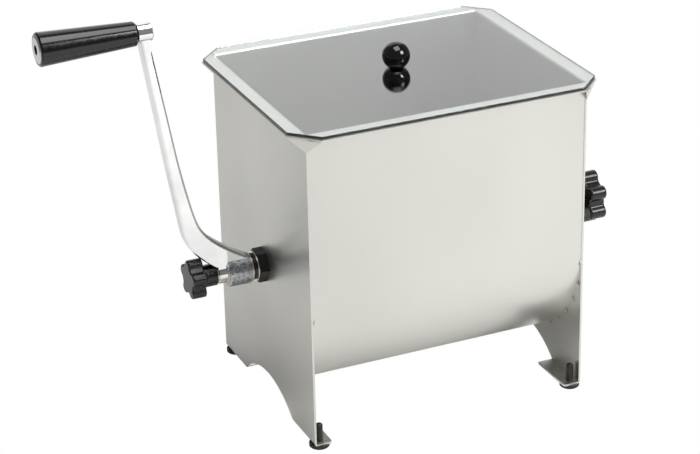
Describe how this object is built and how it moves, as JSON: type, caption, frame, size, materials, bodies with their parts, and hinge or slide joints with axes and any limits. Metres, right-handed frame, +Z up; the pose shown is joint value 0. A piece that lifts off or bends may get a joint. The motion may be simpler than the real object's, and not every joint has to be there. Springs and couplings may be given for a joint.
{
  "type": "meat mixer",
  "caption": "Manual meat mixer: round-bottomed steel tub on leg plates, with a hand crank, paddles on a shaft, a release knob and a lift-off clear lid.",
  "frame": {"origin": "on the table plane under the rubber feet, below the middle of the whole object from the grip's end to the release knob", "axes": "+X along the shaft from the crank side to the release knob, +Y from the front wall to the back wall, +Z up"},
  "size_m": [0.584, 0.265, 0.425],
  "materials": {
    "tub_steel": "satin",
    "foot_rubber": "matte",
    "gasket_rubber": "matte",
    "nut_black": "satin",
    "sleeve_brown": "satin",
    "turned_steel": "turned",
    "paddle_steel": "satin",
    "bright_zinc": "bright plated",
    "hub_zinc": "zinc plated",
    "arm_chrome": "polished",
    "grip_black": "gloss",
    "cap_silver": "turned",
    "knob_black": "satin",
    "ball_black": "gloss",
    "lid_clear": "clear acrylic"
  },
  "bodies": {
    "tub": {"tub_skin": "tub_steel", "left_end_plate": "tub_steel", "right_end_plate": "tub_steel", "rim_corner_fl": "tub_steel", "rim_corner_fr": "tub_steel", "rim_corner_bl": "tub_steel", "rim_corner_br": "tub_steel", "foot_fl": "foot_rubber", "foot_fr": "foot_rubber", "foot_bl": "foot_rubber", "foot_br": "foot_rubber", "left_gasket": "gasket_rubber", "right_gasket": "gasket_rubber", "left_gland": "turned_steel", "right_gland": "turned_steel", "left_nut": "nut_black", "right_nut": "nut_black", "left_washer": "bright_zinc", "left_sleeve": "sleeve_brown"},
    "agitator": {"drive_shaft": "turned_steel", "drive_pin": "turned_steel", "thrust_collar": "turned_steel", "paddle_shaft": "turned_steel", "paddle_socket_1": "turned_steel", "paddle_socket_2": "turned_steel", "paddle_socket_3": "turned_steel", "paddle_socket_4": "turned_steel", "paddle_1": "paddle_steel", "paddle_2": "paddle_steel", "paddle_3": "paddle_steel", "paddle_4": "paddle_steel", "hub_ring": "bright_zinc", "crank_hub": "hub_zinc", "crank_collar": "bright_zinc", "crank_arm": "arm_chrome", "grip_spindle": "bright_zinc"},
    "grip": {"grip_handle": "grip_black", "grip_end_cap": "cap_silver"},
    "crank_knob_washer": {"knob_washer": "bright_zinc"},
    "crank_knob": {"crank_knob": "knob_black", "crank_knob_stud": "turned_steel"},
    "release_knob_washer": {"release_washer": "bright_zinc"},
    "release_knob": {"release_knob": "knob_black", "stub_axle": "turned_steel"},
    "lid": {"lid_panel": "lid_clear", "lid_knob": "ball_black", "lid_counter_knob": "ball_black", "lid_stud": "turned_steel"}
  },
  "joints": [
    {"name": "crank", "type": "hinge", "parent": "tub", "child": "agitator", "pos_m": [-0.08, 0, 0.15], "axis": [-1, 0, 0], "continuous": true},
    {"name": "grip_spin", "type": "hinge", "parent": "agitator", "child": "grip", "pos_m": [-0.24, 0, 0.409], "axis": [-1, 0, 0], "continuous": true},
    {"name": "crank_knob_travel", "type": "slide", "parent": "agitator", "child": "crank_knob_washer", "axis": [-1, 0, 0], "range_m": [0, 0.015]},
    {"name": "crank_knob_turn", "type": "hinge", "parent": "crank_knob_washer", "child": "crank_knob", "pos_m": [-0.14, 0, 0.15], "axis": [-1, 0, 0], "range_deg": [0, 4325]},
    {"name": "release_travel", "type": "slide", "parent": "tub", "child": "release_knob_washer", "axis": [1, 0, 0], "range_m": [0, 0.021]},
    {"name": "release_turn", "type": "hinge", "parent": "release_knob_washer", "child": "release_knob", "pos_m": [0.262, 0, 0.15], "axis": [1, 0, 0], "range_deg": [0, 4325]},
    {"name": "lid_lift", "type": "slide", "parent": "tub", "child": "lid", "axis": [0, 0, 1], "range_m": [0, 0.06]}
  ],
  "couplings": [
    {"joint": "crank_knob_turn", "follows": "crank_knob_travel", "rad_per_m": 5026.5},
    {"joint": "release_turn", "follows": "release_travel", "rad_per_m": 3590.4}
  ]
}
